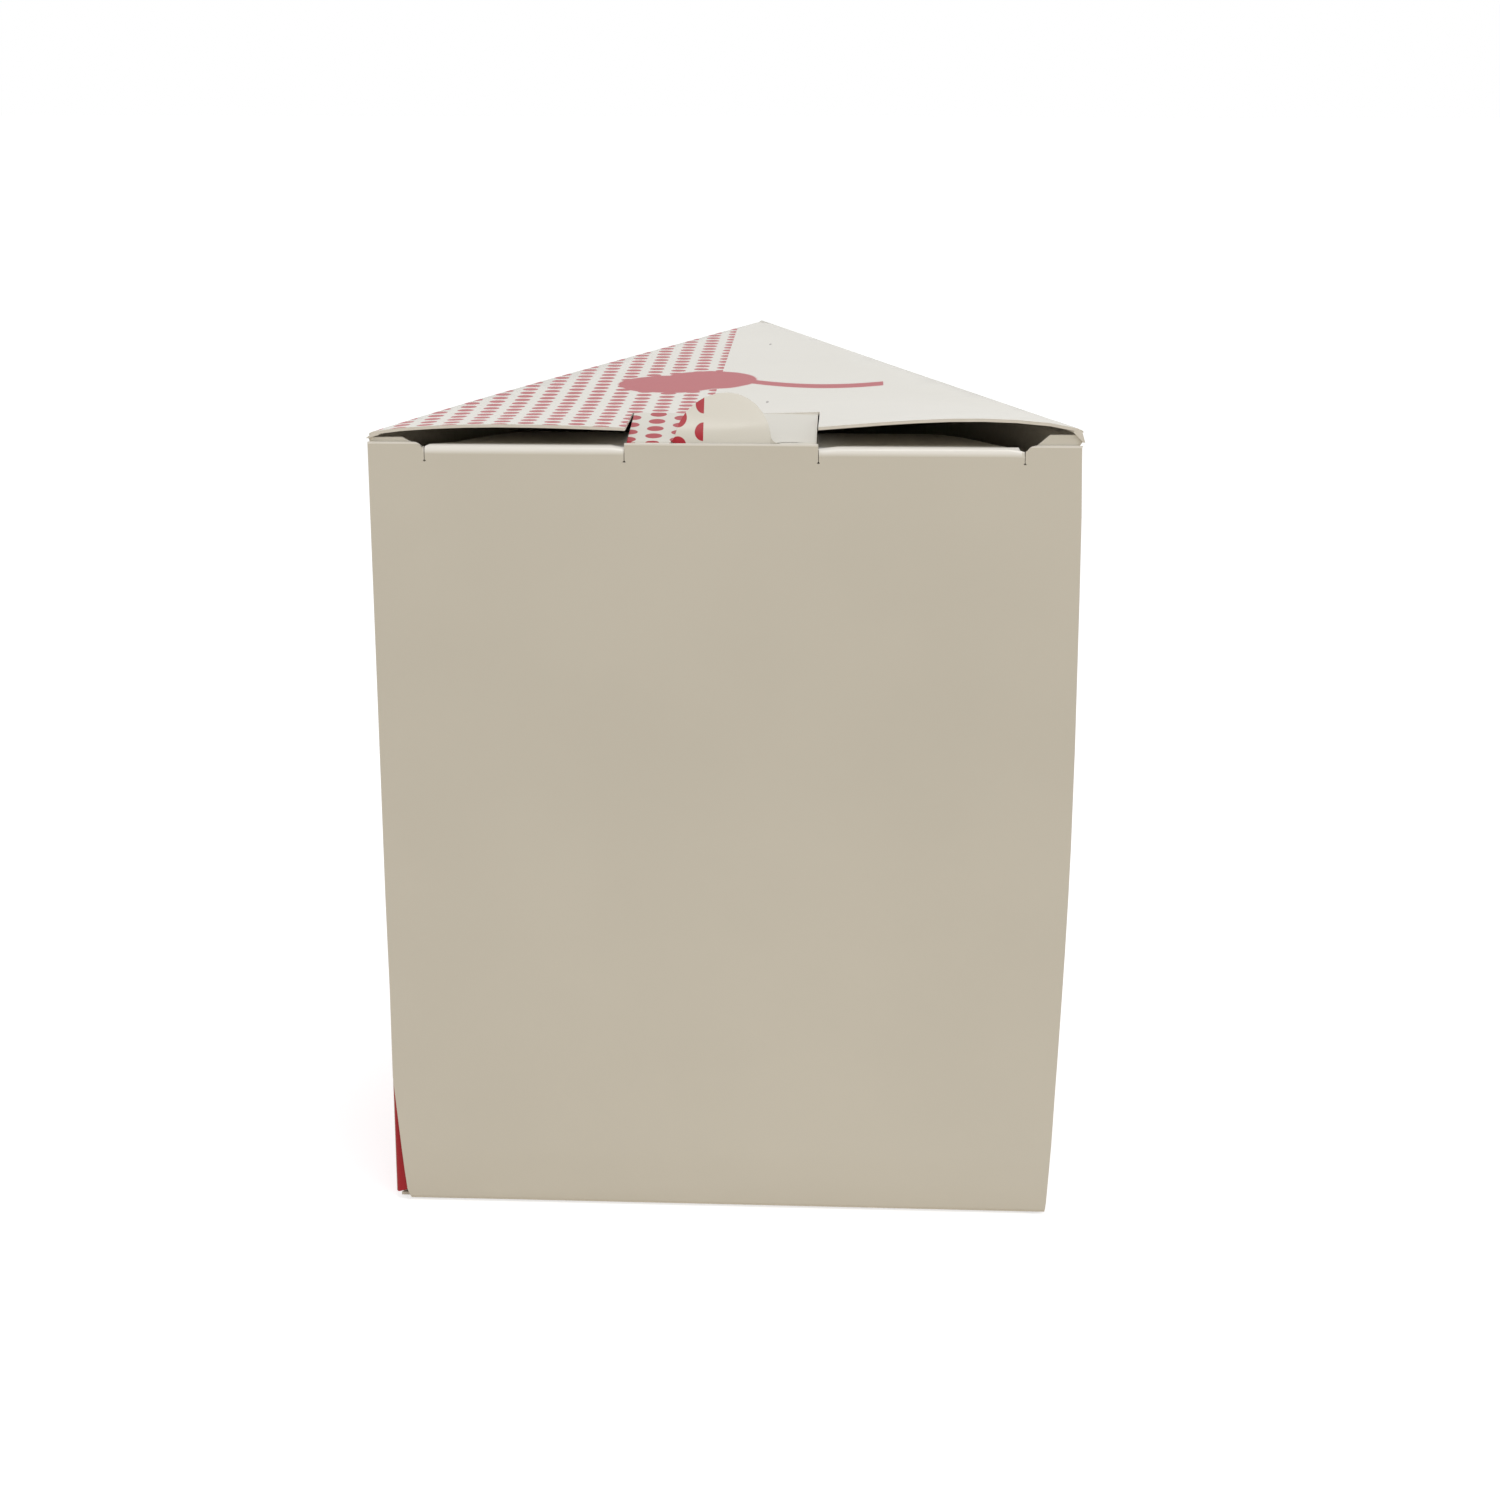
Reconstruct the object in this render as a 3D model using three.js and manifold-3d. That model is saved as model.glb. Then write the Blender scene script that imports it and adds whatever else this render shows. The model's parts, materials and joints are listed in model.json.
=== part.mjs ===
// Wedge-shaped carton for one slice of cake, folded from a single sheet of coated board.
// Millimetres, +Z up. The wide end faces -Y and the nose points to +Y. The origin is the
// centre of the footprint, on the surface the carton stands on.
import * as THREE from 'three';
import { mergeVertices } from 'three/addons/utils/BufferGeometryUtils.js';
import { TessellateModifier } from 'three/addons/modifiers/TessellateModifier.js';
import Module from 'manifold-3d';

const wasm = await Module();
wasm.setup();

// Board
const board = 0.45;             // thickness of the coated board
const creaseRadius = 0.3;       // inside radius of a sharp crease
const beadSize = 0.9;           // raised bead of board inside a long crease
const glueBite = 0.05;          // how far two glued layers sink into each other
const cutWidth = 0.3;           // width of a cut line that has opened a little
const foldStep = 0.1;           // lid and base stop this far short of the walls' outer faces
const foldCurve = [[-0.07, -0.9], [0.1, -0.45], [0.23, -0.23], [0.45, -0.1], [0.9, 0.07]]; // in outer radii
const bendStep = 0.35;          // largest turn between two points of a bend, in radians

// Overall form
const boxWidth = 100;           // closing panel, across the wide end
const boxHeight = 117.8;        // standing surface to the flat part of the lid
const sliceAngle = 44;          // angle at the nose, close to one eighth of a round cake
const cornerLap = 0.45;         // the walls' sharp corners lie this far outside the panel's side edges
const wallFoot = 1.0;           // cut lower edge of the walls, above the standing surface

// Closing panel at the wide end, hinged to the base
const panelDrop = 1.8;          // its ears and its middle stretch end this far under the lid
const panelFootInset = 0.3;     // how far the panel rolls in towards its lower crease
const panelFootHeight = 8;      // where that roll starts
const panelFootBend = 40;       // radius of the roll
const panelReturn = 3;          // lap of the panel's lower fold into the base
const panelTaper = 1.9;         // the panel narrows by this much on each side at its foot
const panelTaperHeight = 20;
const panelChamfer = 0.8;
const earWidth = 7.9;           // outside the two outer slits
const earRadius = 1.4;
const slitDepth = 2.45;         // the slits run down from the panel's top edge
const slitStopRadius = 0.28;    // round stop at the end of each slit

// Tuck flap along the panel's top, turned in under the lid
const tuckCreaseDrop = 0.7;     // top of the rounded fold, below the panel's top edge
const tuckFoldRadius = 0.55;    // inside radius of that fold
const tuckLength = 18;
const tuckDrop = 0.6;           // how much lower its free edge lies
const tuckCornerRadius = 5;
const tuckSideAngle = 30;       // its ends slant by this much from the box's axis
const slotDepth = 2.1;          // cut-out in the fold that takes the locking tongue

// Dust flaps, folded in from the walls behind the closing panel
const dustGap = 0.2;            // between a dust flap and the closing panel
const dustWidth = 28;
const dustDrop = 0.8;           // its top edge lies this far under the lid
const dustShoulder = 5.3;       // flat part of the top edge, next to the wall
const dustChamfer = 16;         // 45 degree cut that lets the flap swing in
const dustFootAngle = 17;       // its lower edge rises by this much

// Locking tongue: a strip of the lid between two slits, bent down into the slot
const lockCentre = -0.4;        // across the box
const tongueWidth = 26.7;
const tongueLength = 15;
const tongueDrop = 1.75;        // its crease lies this far under the lid
const lockFlapDepth = 6;        // below that crease
const lockFlapTaper = 12;       // slant of the flap's two ends, in degrees
const lockClearance = 0.35;     // between the flap and the closing panel
const lockCreaseRadius = 0.15;  // inside radius of the tongue's crease
const lockFlapFacets = 5;       // flat faces down the curved flap
const tabCentre = 0.2;          // half-moon thumb tab, across the box
const tabRadius = 6.4;
const tabHeight = 7.1;
const tabFlare = 1.3;           // its foot flares out by this much

// The lid's free edge bows up on both sides of the tongue
const bowLeft = 0.85;
const bowRight = 1.45;
const bowAtSlit = 0.5;
const bowReach = 34;            // the bow fades out at this distance from the free edge
const bowSkew = 0.75;           // below 1 the bow peaks nearer the wall
const bowFacet = 6;             // longest facet edge on the bowed stretch
const lidSetback = 0.4;         // free edge behind the panel's outer face

// Glue flaps
const noseFlapWidth = 12;
const baseFlapHeight = 12;
const noseFlapEnd = 3;          // the nose flap stops this far short of the lid and the base
const seamWidth = 0.4;          // open line where one wall's cut edge meets the other's fold
const seamDepth = 0.36;

// Overshoot of the cutting tools
const margin = 5;
const nudge = 1;

// Colours
const coatedWhite = 0xe4e2dc;
const tonguePrint = 0xd8c4be;   // white with dusty red dots, seen as one colour

// Values worked out from the sizes above
const outerRadius = creaseRadius + board;
const halfAngle = THREE.MathUtils.degToRad(sliceAngle / 2);
const noseCut = outerRadius * (1 / Math.sin(halfAngle) - 1);
const dustFaceBehindPanel = board + dustGap;
const wallHalf = boxWidth / 2 + cornerLap;
const wallRun = wallHalf / Math.tan(halfAngle);
const panelHeight = boxHeight - panelDrop;
const tuckCreaseHeight = panelHeight - tuckCreaseDrop;
const dustTop = boxHeight - dustDrop;
const boxDepth = dustFaceBehindPanel + wallRun - noseCut;
const rear = -boxDepth / 2;
const dustFace = rear + dustFaceBehindPanel;
const noseCorner = dustFace + wallRun;
const notchFront = rear + tongueLength + cutWidth;
const hingeY = rear + tongueLength + cutWidth / 2;
const hingeZ = boxHeight + lidBow(lockCentre, notchFront);

// Straight solids

function solidOf(geometry) {
  const bare = geometry.clone();
  bare.deleteAttribute('normal');
  bare.deleteAttribute('uv');
  const merged = mergeVertices(bare, 1e-4);
  return new wasm.Manifold(new wasm.Mesh({
    numProp: 3,
    vertProperties: Float32Array.from(merged.attributes.position.array),
    triVerts: Uint32Array.from(merged.index.array),
  }));
}

function prism(shape, length, xAxis, yAxis, start) {
  const geometry = new THREE.ExtrudeGeometry(shape, { depth: length, bevelEnabled: false, curveSegments: 6 });
  const across = new THREE.Vector3().crossVectors(xAxis, yAxis);
  geometry.applyMatrix4(new THREE.Matrix4().makeBasis(xAxis, yAxis, across).setPosition(start));
  return solidOf(geometry);
}

const X = new THREE.Vector3(1, 0, 0);
const Y = new THREE.Vector3(0, 1, 0);
const Z = new THREE.Vector3(0, 0, 1);

// Seen from above, raised from z = low to z = high
const fromAbove = (shape, low, high) => prism(shape, high - low, X, Y, new THREE.Vector3(0, 0, low));

// Seen from the wide end (x to the right, z up), running from y = near to y = far
const fromEnd = (shape, near, far) => prism(shape, far - near, X, Z, new THREE.Vector3(0, far, 0));

// Seen from the side (y to the right, z up), running from x = left to x = right
const fromSide = (shape, left, right) => prism(shape, right - left, Y, Z, new THREE.Vector3(left, 0, 0));

function polygon(points) {
  return new THREE.Shape(points.map(([x, y]) => new THREE.Vector2(x, y)));
}

function rectangle(left, low, right, high) {
  return polygon([[left, low], [right, low], [right, high], [left, high]]);
}

// Section of folded board. The outer face runs through the corners [x, y, inside radius], with
// the inside of the carton on its left, and the inner face follows one thickness behind it.
function foldedSection(corners) {
  const points = corners.map(([x, y]) => new THREE.Vector2(x, y));
  const outer = [];
  const inner = [];
  const leftOf = (v) => new THREE.Vector2(-v.y, v.x);
  points.forEach((here, i) => {
    const arriving = i > 0 ? here.clone().sub(points[i - 1]).normalize() : null;
    const leaving = i < points.length - 1 ? points[i + 1].clone().sub(here).normalize() : null;
    const before = leftOf(arriving ?? leaving);
    const after = leftOf(leaving ?? arriving);
    const turn = Math.atan2(before.cross(after), before.dot(after));
    const radius = (corners[i][2] ?? -board) + board;
    const mitre = before.clone().add(after).multiplyScalar(1 / (1 + before.dot(after)));
    const centre = here.clone().addScaledVector(mitre, radius);
    const steps = radius > 0 ? Math.max(2, Math.ceil(turn / bendStep)) : 0;
    for (let k = 0; k <= steps; k += 1) {
      const normal = before.clone().rotateAround(new THREE.Vector2(), steps ? turn * k / steps : 0);
      outer.push(steps ? centre.clone().addScaledVector(normal, -radius) : here);
      inner.push(steps ? centre.clone().addScaledVector(normal, board - radius)
        : here.clone().addScaledVector(mitre, board));
    }
  });
  return new THREE.Shape([...outer, ...inner.reverse()]);
}

// Side walls with their dust flaps, one band of board round the nose

function wallBand() {
  const half = wallHalf;
  const flapEnd = half - dustWidth;
  const band = foldedSection([
    [flapEnd, dustFace], [half, dustFace, creaseRadius], [0, noseCorner, creaseRadius],
    [-half, dustFace, creaseRadius], [-flapEnd, dustFace],
  ]);
  const leftFoot = rectangle(-half - nudge, rear - nudge, 0, boxDepth);
  return fromAbove(band, board / 2, boxHeight - board / 2)
    .subtract(dustFlapWaste(-1))
    .subtract(dustFlapWaste(1))
    .subtract(fromAbove(leftFoot, -nudge, wallFoot));
}

// What the band loses behind the closing panel, drawn for one dust flap
function dustFlapWaste(side) {
  const half = wallHalf;
  const shoulder = half - dustShoulder;
  const end = half - dustWidth - margin;
  const corner = half - outerRadius;
  const footRise = Math.tan(THREE.MathUtils.degToRad(dustFootAngle));
  const upper = polygon([
    [corner, boxHeight + margin], [corner, dustTop], [shoulder, dustTop],
    [shoulder - dustChamfer, dustTop - dustChamfer], [end, dustTop - dustChamfer - margin],
    [end, boxHeight + margin],
  ].map(([x, z]) => [side * x, z]));
  const lower = polygon([
    [corner, -nudge], [corner, wallFoot], [end, wallFoot + (corner - end) * footRise], [end, -nudge],
  ].map(([x, z]) => [side * x, z]));
  const far = dustFace + board + creaseRadius / 2;
  return fromEnd(upper, rear, far).add(fromEnd(lower, rear, far));
}

// A section swept along one wall (side -1 is the left wall): x inward from its outer face, y up
function alongWall(shape, side, height) {
  const inward = new THREE.Vector3(-side * Math.cos(halfAngle), -Math.sin(halfAngle), 0);
  const run = new THREE.Vector3(-side * Math.sin(halfAngle), Math.cos(halfAngle), 0);
  const length = wallRun / Math.cos(halfAngle) + 2 * margin;
  const start = new THREE.Vector3(side * wallHalf, dustFace, height)
    .addScaledVector(run, side < 0 ? length - margin : -margin);
  return prism(shape, length, inward, Z, start);
}

// What a fold takes off the sharp edge between a wall and the lid (up = 1) or the base (up = -1)
function foldWaste(up) {
  const low = foldCurve[0][1];
  const far = foldCurve[foldCurve.length - 1][0];
  const points = [...foldCurve, [far, 1], [-1, 1], [-1, low]];
  return polygon(points.map(([x, y]) => [x * outerRadius, up * y * outerRadius]));
}

// Raised bead of board inside a long crease, sunk halfway into both layers
function beadSection(up) {
  const sunk = board / 2;
  const reach = board + beadSize;
  return polygon([[sunk, -sunk], [reach, -sunk], [reach, -board], [board, -reach], [sunk, -reach]]
    .map(([x, y]) => [x, up * y]));
}

// Footprint one fold step inside the walls' outer faces, with its wide edge at y = back
function footprint(back) {
  const edge = (noseCorner - back) * Math.tan(halfAngle) - foldStep / Math.cos(halfAngle);
  const tipRadius = outerRadius - foldStep;
  const tipCentre = noseCorner - outerRadius / Math.sin(halfAngle);
  const tip = [halfAngle, Math.PI / 2, Math.PI - halfAngle].map((angle) => (
    [tipRadius * Math.cos(angle), tipCentre + tipRadius * Math.sin(angle)]
  ));
  return [[-edge, back], [edge, back], ...tip];
}

// Trims what is swept along the walls to the room between them
function insideWalls(back, low, high) {
  return fromAbove(polygon(footprint(back)), low, high);
}

// Lid

// Height of the bowed lid above its flat part
function lidBow(x, y) {
  const fade = Math.max(0, 1 - (y - rear) / bowReach) ** 2;
  const fromCrease = (noseCorner - y) * Math.sin(halfAngle) - Math.abs(x) * Math.cos(halfAngle) - foldStep;
  const slitFromCrease = (wallHalf - tongueWidth / 2) * Math.cos(halfAngle) - foldStep;
  const share = THREE.MathUtils.clamp(fromCrease / slitFromCrease, 0, 1);
  const rise = x < 0 ? bowLeft : bowRight;
  return fade * (rise * Math.sin(Math.PI * share ** bowSkew) + bowAtSlit * share);
}

function lidPlate() {
  const back = rear + lidSetback;
  const [rearLeft, rearRight, ...tip] = footprint(back);
  const left = lockCentre - tongueWidth / 2 - cutWidth;
  const right = lockCentre + tongueWidth / 2 + cutWidth;
  const outline = polygon([
    rearLeft, [left, back], [left, notchFront], [right, notchFront], [right, back], rearRight, ...tip,
  ]);
  const plate = new THREE.ExtrudeGeometry(outline, { depth: board, bevelEnabled: false });
  const fine = new TessellateModifier(bowFacet, 12).modify(plate);
  const position = fine.attributes.position;
  for (let i = 0; i < position.count; i += 1) {
    const lift = lidBow(position.getX(i), position.getY(i));
    position.setZ(i, position.getZ(i) + boxHeight - board + lift);
  }
  return solidOf(fine);
}

// Closing panel with its tuck flap

function closingPanel() {
  const half = boxWidth / 2;
  const foot = half - panelTaper;
  const slitOuter = half - earWidth;
  const slitInner = tongueWidth / 2 + cutWidth;
  const foldStart = tuckCreaseHeight - tuckFoldRadius - board;
  const returnEnd = rear + panelFootInset + panelReturn;
  const sheet = fromSide(foldedSection([
    [rear, panelHeight], [rear, panelFootHeight, panelFootBend],
    [rear + panelFootInset, 0, creaseRadius], [returnEnd, 0],
  ]), -half, half);
  const earEdge = slitOuter + cutWidth / 2;
  const earTop = panelHeight - earRadius;
  const outline = new THREE.Shape();
  outline.moveTo(-foot + panelChamfer, -nudge);
  outline.lineTo(foot - panelChamfer, -nudge);
  outline.lineTo(foot - panelChamfer, 0);
  outline.lineTo(foot, 2 * panelChamfer);
  outline.lineTo(half, panelTaperHeight);
  outline.lineTo(half, panelHeight);
  outline.absarc(earEdge + earRadius, earTop, earRadius, Math.PI / 2, Math.PI, false);
  outline.lineTo(earEdge, foldStart);
  outline.lineTo(lockCentre + slitInner, foldStart);
  outline.lineTo(lockCentre + slitInner, panelHeight);
  outline.lineTo(lockCentre - slitInner, panelHeight);
  outline.lineTo(lockCentre - slitInner, foldStart);
  outline.lineTo(-earEdge, foldStart);
  outline.absarc(-earEdge - earRadius, earTop, earRadius, 0, Math.PI / 2, false);
  outline.lineTo(-half, panelHeight);
  outline.lineTo(-half, panelTaperHeight);
  outline.lineTo(-foot, 2 * panelChamfer);
  outline.lineTo(-foot + panelChamfer, 0);
  const panel = sheet.intersect(fromEnd(outline, rear - nudge, returnEnd + nudge));

  const tuckSheet = foldedSection([
    [rear + tuckLength, tuckCreaseHeight - tuckDrop], [rear, tuckCreaseHeight, tuckFoldRadius],
    [rear, foldStart - nudge],
  ]);
  const tuck = fromSide(tuckSheet, -slitOuter, slitOuter);
  const tuckPlan = fromAbove(tuckOutline(slitOuter), foldStart - margin, panelHeight);
  const slot = fromAbove(
    rectangle(lockCentre - slitInner, rear - nudge, lockCentre + slitInner, rear + slotDepth),
    foldStart, panelHeight + nudge,
  );
  let result = panel.add(tuck.intersect(tuckPlan).subtract(slot));
  for (const x of [-slitOuter, lockCentre - slitInner, lockCentre + slitInner, slitOuter]) {
    result = result.subtract(slitTool(x));
  }
  return result;
}

// Seen from above: the flap's ends slant in and its two free corners are rounded
function tuckOutline(halfWidth) {
  const slant = Math.tan(THREE.MathUtils.degToRad(tuckSideAngle));
  const end = rear + tuckLength;
  const straight = end - tuckCornerRadius;
  const halfAt = (y) => halfWidth - (y - rear) * slant;
  const shape = new THREE.Shape();
  shape.moveTo(-halfWidth, rear - nudge);
  shape.lineTo(halfWidth, rear - nudge);
  shape.lineTo(halfWidth, rear);
  shape.lineTo(halfAt(straight), straight);
  shape.quadraticCurveTo(halfAt(end), end, halfAt(end) - tuckCornerRadius, end);
  shape.lineTo(tuckCornerRadius - halfAt(end), end);
  shape.quadraticCurveTo(-halfAt(end), end, -halfAt(straight), straight);
  shape.lineTo(-halfWidth, rear);
  return shape;
}

// One slit from the panel's top edge down to its round stop
function slitTool(x) {
  const low = panelHeight - slitDepth;
  const shape = new THREE.Shape();
  shape.moveTo(x - cutWidth / 2, panelHeight + nudge);
  shape.lineTo(x - cutWidth / 2, low);
  shape.absarc(x, low, slitStopRadius, Math.PI, 2 * Math.PI, false);
  shape.lineTo(x + cutWidth / 2, low);
  shape.lineTo(x + cutWidth / 2, panelHeight + nudge);
  return fromEnd(shape, rear - nudge, rear + board + dustGap / 2);
}

// Base and the glue flaps

function basePlate() {
  const leftInset = board - glueBite + foldStep;
  const leftTrim = alongWall(rectangle(leftInset, -nudge, boxWidth, nudge), -1, 0);
  return insideWalls(rear + panelFootInset + panelReturn / 2, 0, board).intersect(leftTrim);
}

// Strip of board glued to the inside of one wall, drawn as it lies on that wall: x is the
// distance from the nose corner along the wall's outer face, y is the height
function glueStrip(side, outline) {
  const inward = new THREE.Vector3(-side * Math.cos(halfAngle), -Math.sin(halfAngle), 0);
  const fromNose = new THREE.Vector3(side * Math.sin(halfAngle), -Math.cos(halfAngle), 0);
  const inset = board - glueBite + (side < 0 ? board : 0);
  const start = new THREE.Vector3(0, noseCorner, 0).addScaledVector(inward, inset);
  return prism(polygon(outline), board, fromNose, Z, start);
}

function baseGlueFlap() {
  const near = 2 * noseFlapWidth;
  const far = wallRun / Math.cos(halfAngle) - margin;
  const low = board / 2;
  return glueStrip(-1, [
    [near, low], [far, low], [far - baseFlapHeight, baseFlapHeight], [near + baseFlapHeight, baseFlapHeight],
  ]);
}

function noseGlueFlap() {
  const near = 2 * outerRadius;
  const low = board + noseFlapEnd;
  const high = boxHeight - low;
  return glueStrip(1, [
    [near, low], [near + noseFlapWidth, low + noseFlapWidth / 2],
    [near + noseFlapWidth, high - noseFlapWidth / 2], [near, high],
  ]);
}

// Open line beside the nose fold, where the right wall's cut edge lies on the nose flap
function noseSeam() {
  const foldEnd = outerRadius / Math.tan(halfAngle) + cutWidth;
  const fromNose = new THREE.Vector3(Math.sin(halfAngle), -Math.cos(halfAngle), 0);
  const inward = new THREE.Vector3(-Math.cos(halfAngle), -Math.sin(halfAngle), 0);
  const start = new THREE.Vector3(0, noseCorner, 0).addScaledVector(inward, -board);
  const outline = rectangle(foldEnd, 2 * outerRadius, foldEnd + seamWidth, boxHeight - 2 * outerRadius);
  return prism(outline, board + seamDepth, fromNose, Z, start);
}

// Locking tongue with its flap and thumb tab. The flap follows the circle that it swings on.

function lockTongue() {
  const reach = hingeY - (rear + board + lockClearance);
  const drop = hingeZ - (boxHeight - tongueDrop);
  const swing = Math.hypot(reach, drop);
  const section = [[hingeY - cutWidth / 2, hingeZ], [hingeY - reach, hingeZ - drop, lockCreaseRadius]];
  const firstAngle = Math.asin(drop / swing);
  const lastAngle = Math.asin((drop + lockFlapDepth) / swing);
  for (let k = 1; k <= lockFlapFacets; k += 1) {
    const angle = THREE.MathUtils.lerp(firstAngle, lastAngle, k / lockFlapFacets);
    section.push([hingeY - swing * Math.cos(angle), hingeZ - swing * Math.sin(angle)]);
  }
  const half = tongueWidth / 2;
  const sheet = fromSide(foldedSection(section), lockCentre - half, lockCentre + half);

  const creaseZ = hingeZ - drop;
  const low = creaseZ - lockFlapDepth - nudge;
  const flapHalf = half - (creaseZ - low) * Math.tan(THREE.MathUtils.degToRad(lockFlapTaper));
  const frontOutline = polygon([
    [-flapHalf, low], [flapHalf, low], [half + nudge, creaseZ - board], [half + nudge, hingeZ + nudge],
    [-half - nudge, hingeZ + nudge], [-half - nudge, creaseZ - board],
  ].map(([x, z]) => [x + lockCentre, z]));
  const creaseY = hingeY - reach;
  const tab = fromEnd(tabOutline(creaseZ, -board), creaseY, creaseY + board);
  const window = fromAbove(tabOutline(creaseY + board, 0), creaseZ - 2 * board, hingeZ + nudge);
  return sheet.intersect(fromEnd(frontOutline, rear - nudge, hingeY + nudge)).subtract(window).add(tab);
}

// Half-moon with a flared foot on the line y = foot, carried on below it by the depth root
function tabOutline(foot, root) {
  const start = Math.asin(tabFlare / tabHeight);
  const side = tabRadius * Math.cos(start);
  const shape = new THREE.Shape();
  shape.moveTo(tabCentre - side - tabFlare, foot);
  shape.quadraticCurveTo(tabCentre - side, foot, tabCentre - side, foot + tabFlare);
  shape.absellipse(tabCentre, foot, tabRadius, tabHeight, Math.PI - start, start, true);
  shape.quadraticCurveTo(tabCentre + side, foot, tabCentre + side + tabFlare, foot);
  if (root) {
    shape.lineTo(tabCentre + side, foot + root);
    shape.lineTo(tabCentre - side, foot + root);
  }
  return shape;
}

// Assembly

function carton() {
  const trimBack = rear + lidSetback;
  const topTrim = insideWalls(trimBack, boxHeight - margin, boxHeight + margin);
  const footTrim = insideWalls(dustFace + board, -margin, margin);
  let solid = wallBand().add(lidPlate()).add(basePlate()).add(baseGlueFlap()).add(noseGlueFlap());
  for (const side of [-1, 1]) {
    solid = solid.add(alongWall(beadSection(1), side, boxHeight).intersect(topTrim));
    solid = solid.subtract(alongWall(foldWaste(1), side, boxHeight));
  }
  solid = solid.add(alongWall(beadSection(-1), 1, 0).intersect(footTrim));
  solid = solid.subtract(alongWall(foldWaste(-1), 1, 0));
  return solid.subtract(noseSeam()).add(closingPanel());
}

function meshOf(name, solid, material) {
  const { vertProperties, triVerts } = solid.getMesh();
  const geometry = new THREE.BufferGeometry();
  geometry.setAttribute('position', new THREE.BufferAttribute(Float32Array.from(vertProperties), 3));
  geometry.setIndex(Array.from(triVerts));
  geometry.computeVertexNormals();
  const mesh = new THREE.Mesh(geometry, material);
  mesh.name = name;
  return mesh;
}

const group = new THREE.Group();
const coatedBoard = new THREE.MeshStandardMaterial({ color: coatedWhite, roughness: 0.35, metalness: 0 });
const printedBoard = new THREE.MeshStandardMaterial({ color: tonguePrint, roughness: 0.35, metalness: 0 });
group.add(meshOf('carton', carton(), coatedBoard));
group.add(meshOf('locking_tongue', lockTongue(), printedBoard));

export default group;
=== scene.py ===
import json
import math

import bmesh
import bpy
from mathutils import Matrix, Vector
from mathutils.bvhtree import BVHTree


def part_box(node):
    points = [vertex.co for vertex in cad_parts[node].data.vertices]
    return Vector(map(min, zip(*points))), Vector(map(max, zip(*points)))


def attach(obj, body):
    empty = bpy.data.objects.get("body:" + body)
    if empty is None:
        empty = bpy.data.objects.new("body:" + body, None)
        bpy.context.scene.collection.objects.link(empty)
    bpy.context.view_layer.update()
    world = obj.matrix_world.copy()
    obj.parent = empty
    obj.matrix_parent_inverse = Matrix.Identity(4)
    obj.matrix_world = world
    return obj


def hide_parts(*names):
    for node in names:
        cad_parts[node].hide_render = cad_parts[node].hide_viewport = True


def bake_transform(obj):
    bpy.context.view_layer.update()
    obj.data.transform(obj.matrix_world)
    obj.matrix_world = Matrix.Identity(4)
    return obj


# %% [markdown]
# # A cake slice box of printed, coated board
# The box arrives as exact solids that were modelled elsewhere: one folded carton, and the locking
# tongue that is cut in its lid. Each solid is already in place, in metres, with +Z up and the wide
# end towards -Y. We measure what arrived first, because every later step takes its numbers from it.

# %% Load the solids
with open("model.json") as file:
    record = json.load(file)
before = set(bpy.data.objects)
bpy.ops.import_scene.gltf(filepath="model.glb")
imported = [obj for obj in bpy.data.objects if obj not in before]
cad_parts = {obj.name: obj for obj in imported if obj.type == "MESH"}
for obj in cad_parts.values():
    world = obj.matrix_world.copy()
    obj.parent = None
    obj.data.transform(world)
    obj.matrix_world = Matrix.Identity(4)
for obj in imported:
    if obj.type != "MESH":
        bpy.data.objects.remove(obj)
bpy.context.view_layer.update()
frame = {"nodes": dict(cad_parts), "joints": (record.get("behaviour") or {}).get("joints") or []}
MM = 0.001
carton_low, carton_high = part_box("carton")
tongue_low, tongue_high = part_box("locking_tongue")
REAR = carton_low.y
print("nodes:", sorted(frame["nodes"]))
print("carton from", [round(v / MM, 2) for v in carton_low], "to", [round(v / MM, 2) for v in carton_high])
print("tongue from", [round(v / MM, 2) for v in tongue_low], "to", [round(v / MM, 2) for v in tongue_high])

# %% [markdown]
# ## Sizes that the looks need
# Near the nose the lid is flat, so its height is the highest vertex there, and the tongue's hinge
# comes from the joint. The slope of the walls and the sizes of the closure repeat the sheet's own
# sizes. Heights are counted down from the lid, and depths go in from the wide end. The walls, drawn
# on in straight lines, would meet at the depth WALL_REACH.

# %% Sizes of the folded sheet
LID_Z = max(v.co.z for v in frame["nodes"]["carton"].data.vertices if v.co.y > carton_high.y - 10 * MM)
HINGE_Y, HINGE_Z = frame["joints"][0]["pos_m"][1:]
HALF_ANGLE = math.radians(22)
WALL_REACH = 124.87 * MM
CREASE_Z = LID_Z - 1.75 * MM
PANEL_TOP = LID_Z - 1.8 * MM
FOLD_TOP = LID_Z - 2.5 * MM
PANEL_BACK = 0.62 * MM
FOLD_BACK = 2.3 * MM
LOCK_CENTRE = -0.4 * MM
LOCK_HALF = 13.65 * MM
EAR_X = 42.1 * MM
SLITS = (-EAR_X, LOCK_CENTRE - LOCK_HALF, LOCK_CENTRE + LOCK_HALF, EAR_X)
print("lid at", round(LID_Z / MM, 2), "hinge at y", round(HINGE_Y / MM, 2), "z", round(HINGE_Z / MM, 2))
print("slits at x", [round(v / MM, 2) for v in SLITS])

# %% [markdown]
# ## Copies that may be finished
# The solids themselves stay as they are, because they also serve as the physical model. Each one is
# copied for the looks. In the copy, doubled vertices are merged and flat faces are joined, so that
# the mesh has clean corners for rounding and for the small deformations that follow.

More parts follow.
